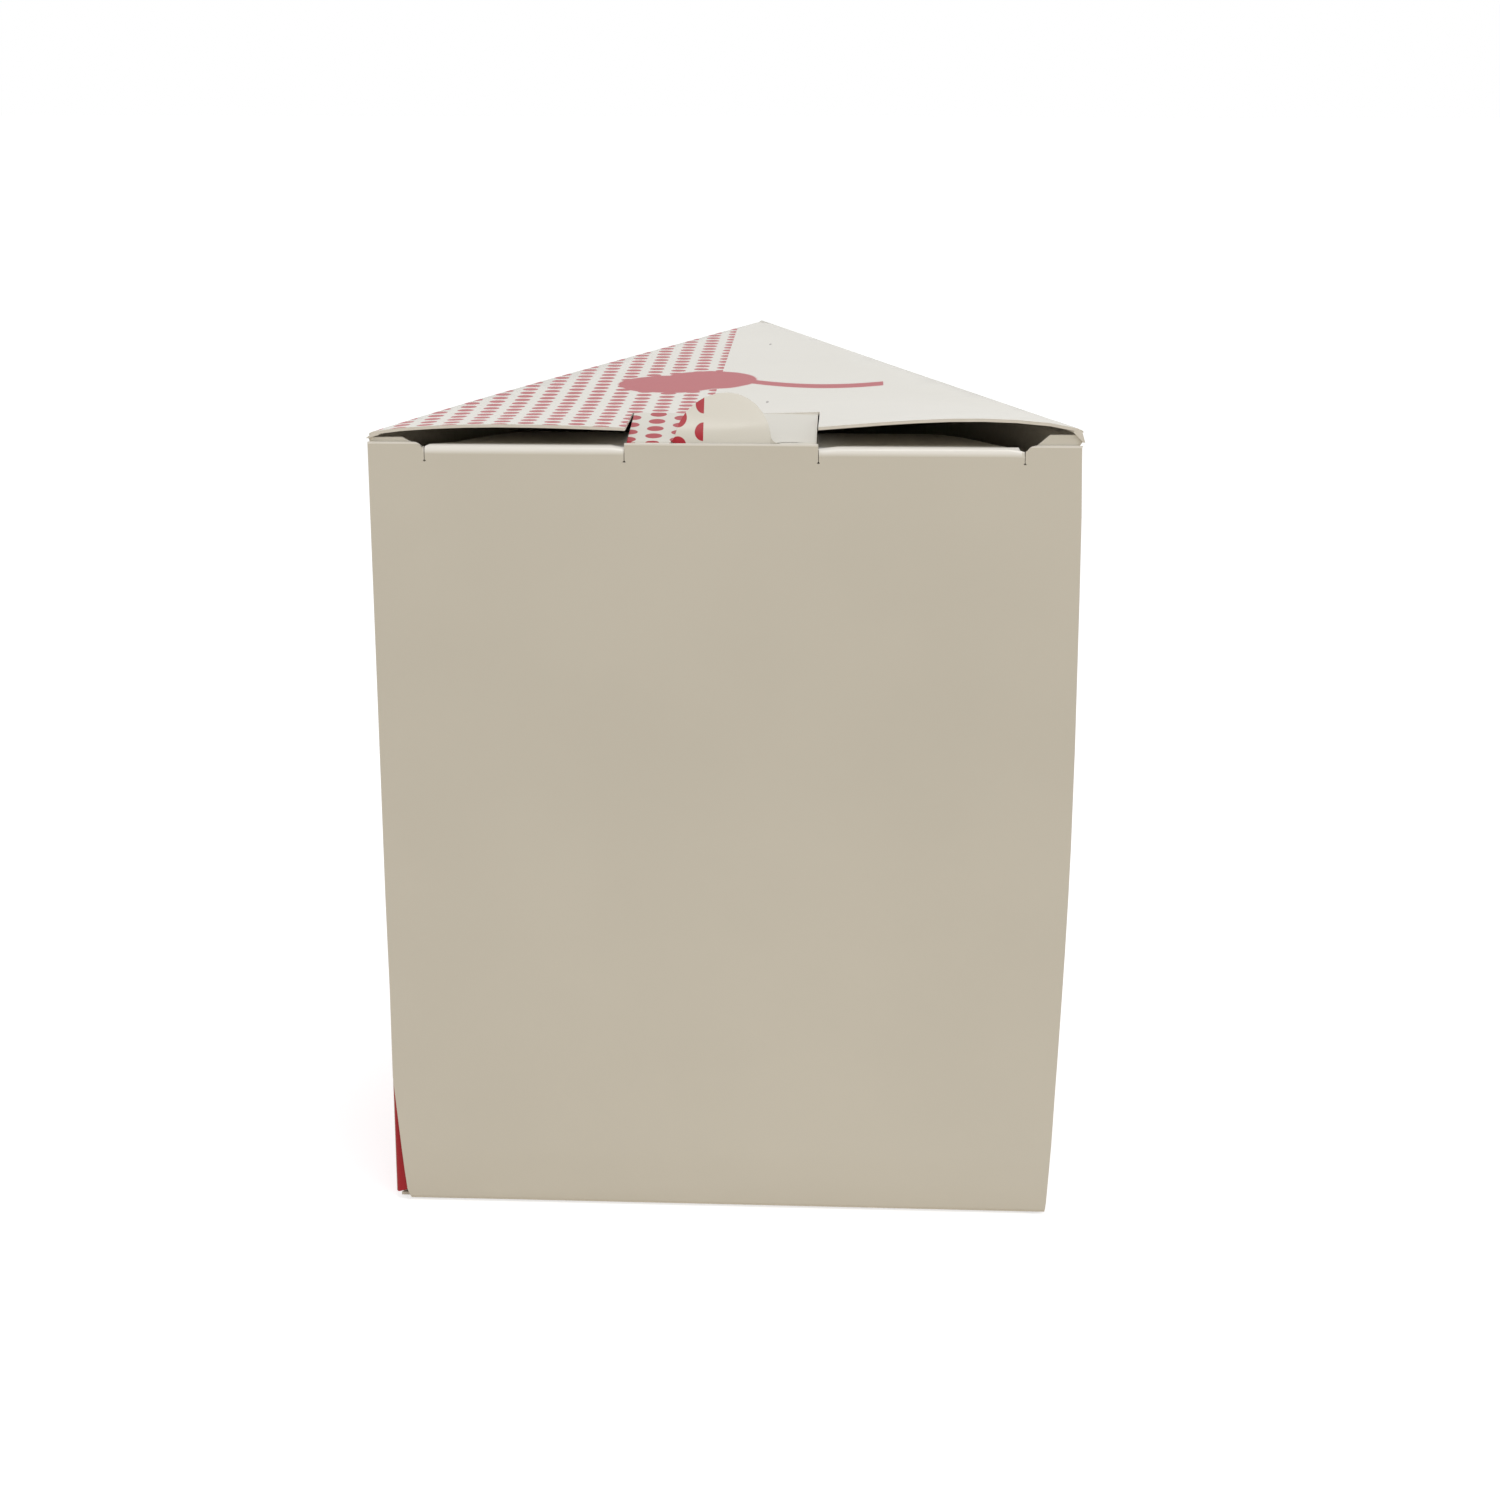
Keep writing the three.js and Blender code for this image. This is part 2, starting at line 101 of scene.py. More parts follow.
# %% Copy the solids
def dressed_copy(node_name, name):
    mesh = frame["nodes"][node_name].data.copy()
    mesh.name = name
    mesh.materials.clear()
    bm = bmesh.new()
    bm.from_mesh(mesh)
    bmesh.ops.remove_doubles(bm, verts=bm.verts, dist=0.002 * MM)
    bmesh.ops.dissolve_limit(bm, angle_limit=math.radians(0.3), verts=bm.verts, edges=bm.edges)
    bmesh.ops.triangulate(bm, faces=[f for f in bm.faces if len(f.verts) > 4])
    bmesh.ops.recalc_face_normals(bm, faces=bm.faces)
    bm.to_mesh(mesh)
    bm.free()
    obj = bpy.data.objects.new(name, mesh)
    bpy.context.scene.collection.objects.link(obj)
    return obj


carton = dressed_copy("carton", "carton_board")
tongue = dressed_copy("locking_tongue", "tongue_board")
print("carton faces:", len(carton.data.polygons), "tongue faces:", len(tongue.data.polygons))

# %% [markdown]
# ## Which faces are printed
# One sheet has three looks: a coated outside, an uncoated inside and a cut edge. They are told apart
# by shape. A ray that starts on a face and runs straight into the board comes out after one thickness
# on the outside and the inside, and much later on a cut edge. The direction that a face looks in then
# says whether it is the outside, and which print it carries.

# %% Sort the faces into looks
PLAIN, LID_PRINT, WALL_PRINT, TAB_PRINT, RAW, CUT = range(6)
LEFT_OUT = Vector((-math.cos(HALF_ANGLE), math.sin(HALF_ANGLE), 0))
RIGHT_OUT = Vector((math.cos(HALF_ANGLE), math.sin(HALF_ANGLE), 0))
THROUGH_BOARD = 1.1 * MM


def way_through(tree, face):
    start = face.calc_center_median() - face.normal * 0.001 * MM
    distance = tree.ray_cast(start, -face.normal)[3]
    return distance or 0


def carton_look(face, depth):
    centre, out = face.calc_center_median(), face.normal
    back = centre.y - REAR
    if centre.z > LID_Z - 0.6 * MM and out.z > 0.25:
        return LID_PRINT
    if depth > THROUGH_BOARD and max(out.dot(LEFT_OUT), out.dot(RIGHT_OUT)) < 0.8:
        return CUT
    if out.dot(LEFT_OUT) > 0.85:
        return WALL_PRINT
    if out.dot(RIGHT_OUT) > 0.85:
        return PLAIN
    if out.y < -0.5:
        return WALL_PRINT if back > 0.55 * MM and centre.x < 0 else PLAIN
    if out.z > 0.3 and back < 19 * MM and centre.z > LID_Z - 5 * MM:
        return PLAIN
    if out.z < -0.5 and centre.z < 2 * MM:
        return PLAIN
    return RAW


def tongue_look(face, depth):
    out = face.normal
    if depth > THROUGH_BOARD:
        return CUT
    if out.z > 0.6:
        return LID_PRINT
    return TAB_PRINT if out.y < -0.3 else RAW


def sort_faces(obj, look):
    bm = bmesh.new()
    bm.from_mesh(obj.data)
    bm.normal_update()
    tree = BVHTree.FromBMesh(bm)
    for face in bm.faces:
        face.material_index = look(face, way_through(tree, face))
    counts = [sum(f.material_index == k for f in bm.faces) for k in range(6)]
    bm.to_mesh(obj.data)
    bm.free()
    return counts


print("carton faces, plain, lid, wall, tab, raw, cut:", sort_faces(carton, carton_look))
print("tongue faces, plain, lid, wall, tab, raw, cut:", sort_faces(tongue, tongue_look))

# %% [markdown]
# ## A box that has been handled
# Real board never stands perfectly square. The side edges of this box bow, its lower right corner is
# drawn in, its foot stands slightly forward, and its lid leans. The shape of each side edge is given
# as pairs of height and half width in millimetres, with straight runs between them. The left wall is
# straight up to its top, so its pairs hold a height and an outward shift instead.

# %% The shape of the side edges
RIGHT_EDGE = [(0, 48.0), (1.6, 48.15), (5, 48.35), (11, 48.7), (18, 49.0), (24, 49.27), (34, 49.66),
              (41, 49.9), (49, 50.12), (57, 50.28), (72, 50.4), (94, 50.36), (106, 50.28), (115, 50.06),
              (115.8, 50.06), (116.9, 50.85), (117.02, 50.85), (117.04, 50.1)]
LEFT_EDGE = [(0, 47.85), (1.8, 48.5), (20, 50.0), (34, 49.98), (47, 50.12), (85, 50.2), (115, 50.3)]
SOLID_EDGE = [(0, 47.3), (1.6, 48.1), (20, 50.0)]
RIGHT_WALL = 50.35
LEFT_WALL_SHIFT = [(115.8, 0.12), (116.9, 0.4), (117.02, 0.4), (117.04, -0.35)]


def profile(pairs, at):
    at = at / MM
    if at <= pairs[0][0]:
        return pairs[0][1]
    for (low, first), (high, second) in zip(pairs, pairs[1:]):
        if at <= high:
            return first + (second - first) * (at - low) / (high - low)
    return pairs[-1][1]


print("right edge at half height:", round(profile(RIGHT_EDGE, LID_Z / 2), 2), "mm from the middle")

# %% [markdown]
# ## How far each point of the board moves
# Each bend is a small function of a point's place and of its distance from the wide end. The side
# edges move sideways and the slits close a little. The foot moves forward, the lid's right side up
# and its left corner down, its nose end to the right, and the rounded fold up, so that it catches
# the light.

# %% The bends
HALF_WIDTH = 50 * MM
FRONT_REACH = 60 * MM
FOOT_REACH = 40 * MM
FOOT_FORWARD = 0.75 * MM
FOOT_TWIST = 0.0175
SLIT_HALF = 0.32 * MM
SLIT_DEPTH = 2.6 * MM
SLIT_CLOSING = 0.7
RIGHT_RISE = 0.5 * MM
LEFT_DROP = 0.45 * MM
NOSE_ASIDE = 0.5 * MM
LID_LENGTH = 122 * MM
FOLD_RISE = 0.35 * MM
FOLD_REACH = 1.4 * MM


def fade(distance, reach):
    return max(0, 1 - distance / reach) ** 2


def edge_shift(point, back):
    share = point.x / HALF_WIDTH
    edge = profile(RIGHT_EDGE if point.x > 0 else LEFT_EDGE, point.z)
    if back < PANEL_BACK and point.z < PANEL_TOP + 0.05 * MM:
        shift = (edge - profile(SOLID_EDGE, point.z)) * MM * share * abs(share)
        for slit in SLITS:
            gap = point.x - slit
            if abs(gap) < SLIT_HALF and point.z > CREASE_Z - SLIT_DEPTH:
                shift -= gap * SLIT_CLOSING
        return shift
    outward = edge - RIGHT_WALL if point.x > 0 else profile(LEFT_WALL_SHIFT, point.z)
    return outward * MM * fade(back, FRONT_REACH) * share


def foot_shift(point, back):
    forward = max(0, FOOT_FORWARD + FOOT_TWIST * point.x)
    return -forward * fade(point.z, FOOT_REACH) * fade(back, FRONT_REACH)


def lid_shift(point, back):
    if point.z <= LID_Z - 1.2 * MM:
        return 0, 0
    aside = NOSE_ASIDE * max(0, 2 * back / LID_LENGTH - 1)
    if point.x <= 0:
        return aside, LEFT_DROP * fade(back, FRONT_REACH) * point.x / HALF_WIDTH
    half = max(0.5 * MM, (WALL_REACH - back) * math.tan(HALF_ANGLE))
    return aside, RIGHT_RISE * min(1, point.x / half)


def fold_shift(point, back):
    beside_lock = 15 * MM < abs(point.x - LOCK_CENTRE) < 42 * MM
    if beside_lock and back < FOLD_BACK and CREASE_Z - 3 * MM < point.z < FOLD_TOP + 0.02 * MM:
        return FOLD_RISE * max(0, 1 + (point.z - FOLD_TOP) / FOLD_REACH)
    return 0


print("foot forward at the middle:", round(-foot_shift(Vector((0, REAR, 0)), 0) / MM, 2), "mm")

# %% [markdown]
# ## Bend the board
# The copy is first cut by a few planes, so that it has vertices where it must bend. Then each vertex
# moves by the sum of the shifts.

# %% Cut and bend
def cut_levels(bm, axis, levels):
    for level in levels:
        place, normal = Vector(), Vector()
        place[axis] = level
        normal[axis] = 1
        geometry = bm.verts[:] + bm.edges[:] + bm.faces[:]
        bmesh.ops.bisect_plane(bm, geom=geometry, plane_co=place, plane_no=normal, dist=0.001 * MM)


def bent(point):
    back = point.y - REAR
    aside, rise = lid_shift(point, back)
    rise += fold_shift(point, back)
    return point + Vector((edge_shift(point, back) + aside, foot_shift(point, back), rise))


bm = bmesh.new()
bm.from_mesh(carton.data)
cut_levels(bm, 2, [level * MM for level in (5, 11, 18, 24, 34, 41, 49, 57, 72, 94, 106, 113.9, 115.8)])
cut_levels(bm, 1, [REAR + level * MM for level in (6, 14, 24, 36, 48, 60, 72, 84, 96, 104, 111, 117)])
cut_levels(bm, 0, [level * MM for level in (-32, -16, 0.01, 8, 16, 24, 32, 40)])
for vert in bm.verts:
    vert.co = bent(vert.co)
bmesh.ops.recalc_face_normals(bm, faces=bm.faces)
bm.to_mesh(carton.data)
bm.free()
print("carton faces after the cuts:", len(carton.data.polygons))

# %% [markdown]
# ## The thumb tab
# The tab springs back from the plane of its flap, which is why it catches more light than the panel
# below it. Its vertices turn about the crease by an angle that grows over the first millimetre and a
# half. The tab is also drawn a little taller than in the solid, and its left half wider.

# %% Let the thumb tab spring back
TAB_TILT = math.radians(37)
TAB_BEND = 1.5 * MM
TAB_MIDDLE = 0.2 * MM
TAB_FACE = REAR + 0.8 * MM
LEFT_STRETCH = 1.13
TALLER = 1.13
for vert in tongue.data.vertices:
    rise, back = vert.co.z - CREASE_Z, vert.co.y - TAB_FACE
    if rise > 0.05 * MM and back < 0.6 * MM:
        if vert.co.x < TAB_MIDDLE:
            vert.co.x = TAB_MIDDLE + (vert.co.x - TAB_MIDDLE) * LEFT_STRETCH
        rise *= TALLER
        angle = TAB_TILT * min(1, rise / TAB_BEND)
        vert.co.y = TAB_FACE + rise * math.sin(angle) + back * math.cos(angle)
        vert.co.z = CREASE_Z + rise * math.cos(angle) - back * math.sin(angle)
print("tab top at", round(max(v.co.z for v in tongue.data.vertices) / MM, 2), "mm")

# %% [markdown]
# ## The crease of the tongue
# The solids leave a hairline gap where the tongue hinges, because separate bodies may not touch.
# On the real sheet the coated skin runs on over that crease. A thin strip stands for it. It starts as
# a cube, is cut across a few times, and is bent down to the tongue's slope in front of the hinge.

# %% Make the crease strip
def crease_strip(name, width, reach, thick):
    slope = math.atan2(HINGE_Z - CREASE_Z, HINGE_Y - tongue_low.y)
    middle = Vector(((tongue_low.x + tongue_high.x) / 2, HINGE_Y, HINGE_Z))
    bm = bmesh.new()
    bmesh.ops.create_cube(bm, size=1)
    bmesh.ops.scale(bm, verts=bm.verts, vec=(width, 2 * reach, thick))
    for level in (-0.5, -0.25, 0, 0.25, 0.5):
        bmesh.ops.bisect_plane(bm, geom=bm.verts[:] + bm.edges[:] + bm.faces[:],
                               plane_co=(0, level * reach, 0), plane_no=(0, 1, 0))
    for vert in bm.verts:
        crown = 0.6 * (1 - abs(vert.co.y) / reach)
        vert.co.z = thick * (crown if vert.co.z > 0 else -1)
        vert.co.z += min(0, vert.co.y) * math.tan(slope)
    bmesh.ops.translate(bm, verts=bm.verts, vec=middle)
    bmesh.ops.recalc_face_normals(bm, faces=bm.faces)
    mesh = bpy.data.meshes.new(name)
    bm.to_mesh(mesh)
    bm.free()
    obj = bpy.data.objects.new(name, mesh)
    bpy.context.scene.collection.objects.link(obj)
    return obj


crease = crease_strip("tongue_crease", tongue_high.x - tongue_low.x, 0.7 * MM, 0.05 * MM)
print("crease strip:", [round(v / MM, 2) for v in crease.dimensions], "mm")

# %% [markdown]
# ## Round edges and smooth bends
# Where two faces meet at a small angle they belong to one bend and shade as one. Where they meet at
# a large angle there is a real edge, which stays sharp in shading but gets a round of a tenth of a
# millimetre. Without that round, board looks like sheet metal.

# %% Finish the edges
EDGE_ROUND = 0.1 * MM


def finish_edges(obj, width):
    bm = bmesh.new()
    bm.from_mesh(obj.data)
    for face in bm.faces:
        face.smooth = True
    for edge in bm.edges:
        edge.smooth = len(edge.link_faces) == 2 and edge.calc_face_angle(0) < math.radians(32)
    bm.to_mesh(obj.data)
    bm.free()
    if width:
        bevel = obj.modifiers.new("soft_edges", "BEVEL")
        bevel.limit_method = "ANGLE"
        bevel.angle_limit = math.radians(40)
        bevel.width = width
        bevel.segments = 2
        bevel.harden_normals = True


finish_edges(carton, EDGE_ROUND)
finish_edges(tongue, EDGE_ROUND)
finish_edges(crease, 0)
print("sharp edges of the carton:", sum(edge.use_edge_sharp for edge in carton.data.edges))

# %% [markdown]
# ## Helpers for the materials
# Colours are written as they look on a screen and turned into the linear values that light needs.
# One function adds a node with its settings and links and hands back one of its outputs, so that
# nodes can be chained like words in a sentence.

# %% Node helpers
def linear(code):
    parts = [int(code[i:i + 2], 16) / 255 for i in (1, 3, 5)]
    return tuple(p / 12.92 if p <= 0.04045 else ((p + 0.055) / 1.055) ** 2.4 for p in parts) + (1,)


def add(tree, kind, inputs=(), out=0, **settings):
    made = tree.nodes.new(kind)
    for key, value in settings.items():
        setattr(made, key, value)
    for key, value in dict(inputs).items():
        if isinstance(value, bpy.types.NodeSocket):
            tree.links.new(value, made.inputs[key])
        else:
            made.inputs[key].default_value = value
    return made.outputs[out]


print("white board in linear light:", [round(v, 3) for v in linear("#E4E1D8")])

# %% [markdown]
# ## Polka dots
# Staggered dots are two plain grids of dots, one shifted by half a cell against the other. Wrapping
# a place into one cell gives its distance to the nearest dot of a grid, and the nearer of the two
# counts. The pattern is a node group, so lid, walls and thumb tab share it.

# %% The dot pattern
DOT_RADIUS = 1.2 * MM
DOT_ACROSS = 3.58 * MM
DOT_ALONG = 3.52 * MM
SOFT_RIM = 0.05 * MM


def dot_group():
    group = bpy.data.node_groups.new("polka_dots", "ShaderNodeTree")
    group.interface.new_socket("Place", in_out="INPUT", socket_type="NodeSocketVector")
    group.interface.new_socket("Ink", in_out="OUTPUT", socket_type="NodeSocketFloat")
    place = add(group, "NodeGroupInput")
    half_cell = (DOT_ACROSS, DOT_ALONG / 2, 0)
    high, low = (DOT_ACROSS, DOT_ALONG / 2, 1), (-DOT_ACROSS, -DOT_ALONG / 2, -1)
    shifted = add(group, "ShaderNodeVectorMath", {0: place, 1: half_cell}, operation="ADD")
    reach = []
    for grid in (place, shifted):
        wrapped = add(group, "ShaderNodeVectorMath", {0: grid, 1: high, 2: low}, operation="WRAP")
        reach.append(add(group, "ShaderNodeVectorMath", {0: wrapped}, out=1, operation="LENGTH"))
    nearest = add(group, "ShaderNodeMath", {0: reach[0], 1: reach[1]}, operation="MINIMUM")
    ink = add(group, "ShaderNodeMapRange",
              {0: nearest, 1: DOT_RADIUS - SOFT_RIM, 2: DOT_RADIUS + SOFT_RIM, 3: 1.0, 4: 0.0},
              interpolation_type="SMOOTHSTEP")
    group.links.new(ink, group.nodes.new("NodeGroupOutput").inputs[0])
    return group


DOTS = dot_group()


def dots(tree, across, along, origin):
    flat = add(tree, "ShaderNodeCombineXYZ", {0: across, 1: along})
    place = add(tree, "ShaderNodeVectorMath", {0: flat, 1: (*origin, 0)}, operation="SUBTRACT")
    return add(tree, "ShaderNodeGroup", {0: place}, node_tree=DOTS)


print("dot pattern nodes:", len(DOTS.nodes))

# %% [markdown]
# ## The cherry on the lid
# A fruit is two overlapping ovals with a slightly frayed outline, and its stem is a shallow bow. The
# fraying is a noise that pushes the place along the box before the ovals are measured. Half of its
# reach is added to the centres, so that the outline frays both ways.

# %% Ovals, fruit and stem
FRAY = 1.6 * MM
BODY_CENTRE, BODY_RADII = (-10.6 * MM, REAR + 45.4 * MM + FRAY / 2), (8.0 * MM, 9.2 * MM)
CHEEK_CENTRE, CHEEK_RADII = (-4.6 * MM, REAR + 50.2 * MM + FRAY / 2), (7.4 * MM, 9.6 * MM)
STEM_MIDDLE = 14.5 * MM
STEM_SPAN = 11.5 * MM
STEM_BOW = 5 * MM
STEM_Y = REAR + 42.6 * MM
STEM_END = 22.6 * MM


def oval(tree, place, centre, radii, soft):
    away = add(tree, "ShaderNodeVectorMath", {0: place, 1: (*centre, 0)}, operation="SUBTRACT")
    scaled = add(tree, "ShaderNodeVectorMath", {0: away, 1: (*radii, 1)}, operation="DIVIDE")
    reach = add(tree, "ShaderNodeVectorMath", {0: scaled}, out=1, operation="LENGTH")
    return add(tree, "ShaderNodeMapRange", {0: reach, 1: 1 - soft, 2: 1 + soft, 3: 1.0, 4: 0.0},
               interpolation_type="SMOOTHSTEP")


def fruit(tree, place):
    ragged = add(tree, "ShaderNodeTexNoise", {"Vector": place, "Scale": 260.0, "Detail": 1.0})
    frayed = add(tree, "ShaderNodeVectorMath", {0: ragged, 1: (0, FRAY, 0), 2: place},
                 operation="MULTIPLY_ADD")
    body = oval(tree, frayed, BODY_CENTRE, BODY_RADII, 0.03)
    cheek = oval(tree, frayed, CHEEK_CENTRE, CHEEK_RADII, 0.03)
    return add(tree, "ShaderNodeMath", {0: body, 1: cheek}, operation="MAXIMUM")


def stem(tree, at):
    aside = add(tree, "ShaderNodeMath", {0: at["X"], 1: STEM_MIDDLE}, operation="SUBTRACT")
    share = add(tree, "ShaderNodeMath", {0: aside, 1: STEM_SPAN}, operation="DIVIDE")
    square = add(tree, "ShaderNodeMath", {0: share, 1: 2.0}, operation="POWER")
    bow = add(tree, "ShaderNodeMath", {0: square, 1: STEM_BOW, 2: STEM_Y}, operation="MULTIPLY_ADD")
    off = add(tree, "ShaderNodeMath", {0: at["Y"], 1: bow}, operation="SUBTRACT")
    distance = add(tree, "ShaderNodeMath", {0: off}, operation="ABSOLUTE")
    line = add(tree, "ShaderNodeMapRange", {0: distance, 1: 1.9 * MM, 2: 2.3 * MM, 3: 1.0, 4: 0.0},
               interpolation_type="SMOOTHSTEP")
    within = add(tree, "ShaderNodeMath", {0: at["X"], 1: STEM_END / 2, 2: STEM_END / 2},
                 operation="COMPARE")
    return add(tree, "ShaderNodeMath", {0: line, 1: within}, operation="MULTIPLY")


print("the fruit's outline frays by", round(FRAY / 2 / MM, 2), "mm either way")

# %% [markdown]
# ## What is printed where
# The dots fill the lid left of a straight line, the left wall above a solid band, and the left part
# of the thumb tab. On the lid they run along and across the box, and on a wall along the wall and up.

# %% The print on lid, tab and wall
PRINT_EDGE_X = -3.0 * MM
LID_DOT_Y = REAR + 0.4 * MM
TAB_DOT_Z = 117.42 * MM
WALL_DOT_START = 1.6 * MM
BAND_TOP = 30 * MM


def lid_ink(tree, at):
    pattern = dots(tree, at["X"], at["Y"], (PRINT_EDGE_X, LID_DOT_Y))
    left = add(tree, "ShaderNodeMath", {0: at["X"], 1: PRINT_EDGE_X}, operation="LESS_THAN")
    dotted = add(tree, "ShaderNodeMath", {0: pattern, 1: left}, operation="MULTIPLY")
    place = add(tree, "ShaderNodeCombineXYZ", {0: at["X"], 1: at["Y"]})
    cherry = add(tree, "ShaderNodeMath", {0: fruit(tree, place), 1: stem(tree, at)}, operation="MAXIMUM")
    return add(tree, "ShaderNodeMath", {0: dotted, 1: cherry}, operation="MAXIMUM")


def tab_ink(tree, at):
    pattern = dots(tree, at["X"], at["Z"], (PRINT_EDGE_X, TAB_DOT_Z))
    left = add(tree, "ShaderNodeMath", {0: at["X"], 1: PRINT_EDGE_X}, operation="LESS_THAN")
    return add(tree, "ShaderNodeMath", {0: pattern, 1: left}, operation="MULTIPLY")


def wall_ink(tree, at):
    back = add(tree, "ShaderNodeMath", {0: at["Y"], 1: REAR}, operation="SUBTRACT")
    along = add(tree, "ShaderNodeMath", {0: back, 1: math.cos(HALF_ANGLE)}, operation="DIVIDE")
    pattern = dots(tree, along, at["Z"], (0, 0))
    inside = add(tree, "ShaderNodeMath", {0: back, 1: WALL_DOT_START}, operation="GREATER_THAN")
    dotted = add(tree, "ShaderNodeMath", {0: pattern, 1: inside}, operation="MULTIPLY")
    band = add(tree, "ShaderNodeMath", {0: at["Z"], 1: BAND_TOP}, operation="LESS_THAN")
    return add(tree, "ShaderNodeMath", {0: dotted, 1: band}, operation="MAXIMUM")


print("dots end at x", round(PRINT_EDGE_X / MM, 2), "and the band at z", round(BAND_TOP / MM, 2))

# %% [markdown]
# ## Painted highlights and specks
# The rounded fold beside the lock and a narrow rim along the top of the closing panel are painted
# whiter, as highlights. Two small grey specks lie on the lid.

# %% Painted highlights and specks
SPECKS = [(5.2 * MM, REAR + 26.8 * MM), (3.6 * MM, REAR + 92.0 * MM)]
SPECK_RADII = (0.22 * MM, 1.0 * MM)
FOLD_MIDDLE = (LOCK_HALF + EAR_X) / 2
FOLD_HALF = (EAR_X - LOCK_HALF) / 2


# Painted highlight: whitens the rounded fold and the top rim of the closing panel near the front.
def painted_fold_and_rim_highlights(tree, colour, at):
    off = add(tree, "ShaderNodeMath", {0: at["X"], 1: LOCK_CENTRE}, operation="SUBTRACT")
    aside = add(tree, "ShaderNodeMath", {0: off}, operation="ABSOLUTE")
    beside = add(tree, "ShaderNodeMath", {0: aside, 1: FOLD_MIDDLE, 2: FOLD_HALF}, operation="COMPARE")
    bend = add(tree, "ShaderNodeMapRange",
               {0: at["Z"], 1: FOLD_TOP - 1.0 * MM, 2: FOLD_TOP - 0.3 * MM},
               interpolation_type="SMOOTHSTEP")
    fold = add(tree, "ShaderNodeMath", {0: bend, 1: beside}, operation="MULTIPLY")
    rising = add(tree, "ShaderNodeMapRange",
                 {0: at["Z"], 1: PANEL_TOP - 0.28 * MM, 2: PANEL_TOP - 0.2 * MM},
                 interpolation_type="SMOOTHSTEP")
    below = add(tree, "ShaderNodeMath", {0: at["Z"], 1: PANEL_TOP + 0.02 * MM}, operation="LESS_THAN")
    rim = add(tree, "ShaderNodeMath", {0: rising, 1: below}, operation="MULTIPLY")
    both = add(tree, "ShaderNodeMath", {0: fold, 1: rim}, operation="MAXIMUM")
    near = add(tree, "ShaderNodeMath", {0: at["Y"], 1: REAR + 3 * MM}, operation="LESS_THAN")
    share = add(tree, "ShaderNodeMath", {0: both, 1: near}, operation="MULTIPLY")
    # The colour is mixed towards near-white #FBFAF7 there, a painted highlight.
    return add(tree, "ShaderNodeMix", {0: share, 6: colour, 7: linear("#FBFAF7")}, out=2, data_type="RGBA")


def lid_specks(tree, colour, at):
    place = add(tree, "ShaderNodeCombineXYZ", {0: at["X"], 1: at["Y"]})
    for centre in SPECKS:
        speck = oval(tree, place, centre, SPECK_RADII, 0.3)
        colour = add(tree, "ShaderNodeMix", {0: speck, 6: colour, 7: linear("#8F8A82")}, out=2,
                     data_type="RGBA")
    return colour


print("specks at", [[round(v / MM, 1) for v in centre] for centre in SPECKS])

# %% [markdown]
# ## Coated board
# Folding board is white stock under a thin glossy coating. The coating is not quite flat: a very
# shallow noise in the normal gives the orange-peel look that breaks up reflections. Ink lies on it a
# little duller, so the roughness follows the print.

# %% Coated board materials
WHITE = linear("#E4E1D8")
RED = linear("#B2162A")
COATING_ROUGHNESS = 0.24
INK_ROUGHNESS = 0.36


def new_material(name):
    material = bpy.data.materials.new(name)
    material.use_nodes = True
    return material, material.node_tree, material.node_tree.nodes["Principled BSDF"]


def orange_peel(tree, where):
    coarse = add(tree, "ShaderNodeTexNoise", {"Vector": where, "Scale": 420.0, "Detail": 3.0})
    fine = add(tree, "ShaderNodeTexNoise", {"Vector": where, "Scale": 60.0, "Detail": 1.0})
    height = add(tree, "ShaderNodeMath", {0: fine, 1: 4.0, 2: coarse}, operation="MULTIPLY_ADD")
    return add(tree, "ShaderNodeBump", {"Height": height, "Strength": 1.0, "Distance": 0.006 * MM})


def coated_board(name, ink_of=None, specks_and_highlights_of=None):
    material, tree, shader = new_material(name)
    where = add(tree, "ShaderNodeTexCoord", out="Object")
    at = add(tree, "ShaderNodeSeparateXYZ", {0: where}).node.outputs
    cloud = add(tree, "ShaderNodeTexNoise", {"Vector": where, "Scale": 45.0, "Detail": 2.0})
    tint = add(tree, "ShaderNodeMapRange", {0: cloud, 1: 0.3, 2: 0.7}, interpolation_type="SMOOTHSTEP")
    colour = add(tree, "ShaderNodeMix", {0: tint, 6: linear("#E2DFD6"), 7: WHITE}, out=2, data_type="RGBA")
    shader.inputs["Roughness"].default_value = COATING_ROUGHNESS
    shader.inputs["IOR"].default_value = 1.42
    if ink_of:
        ink = ink_of(tree, at)
        colour = add(tree, "ShaderNodeMix", {0: ink, 6: colour, 7: RED}, out=2, data_type="RGBA")
        rough = add(tree, "ShaderNodeMapRange", {0: ink, 3: COATING_ROUGHNESS, 4: INK_ROUGHNESS},
                    interpolation_type="SMOOTHSTEP")
        tree.links.new(rough, shader.inputs["Roughness"])
    # Painted highlights on the plain board and real specks on the lid are laid on the colour last.
    if specks_and_highlights_of:
        colour = specks_and_highlights_of(tree, colour, at)
    tree.links.new(colour, shader.inputs["Base Color"])
    tree.links.new(orange_peel(tree, where), shader.inputs["Normal"])
    return material


# The plain board carries the painted highlights of the rounded fold and the panel's top rim.
plain_board = coated_board("coated_board_plain", specks_and_highlights_of=painted_fold_and_rim_highlights)
lid_board = coated_board("coated_board_lid_print", lid_ink, lid_specks)
wall_board = coated_board("coated_board_wall_print", wall_ink)
tab_board = coated_board("coated_board_tab_print", tab_ink)
print("nodes in the lid's material:", len(lid_board.node_tree.nodes))

# %% [markdown]
# ## Uncoated board and cut edges
# The inside of the sheet has no coating and shows its fibres as a fine, dull mottle. The cut edge is
# the white stock itself, a little lighter and a little smoother because the knife presses it.

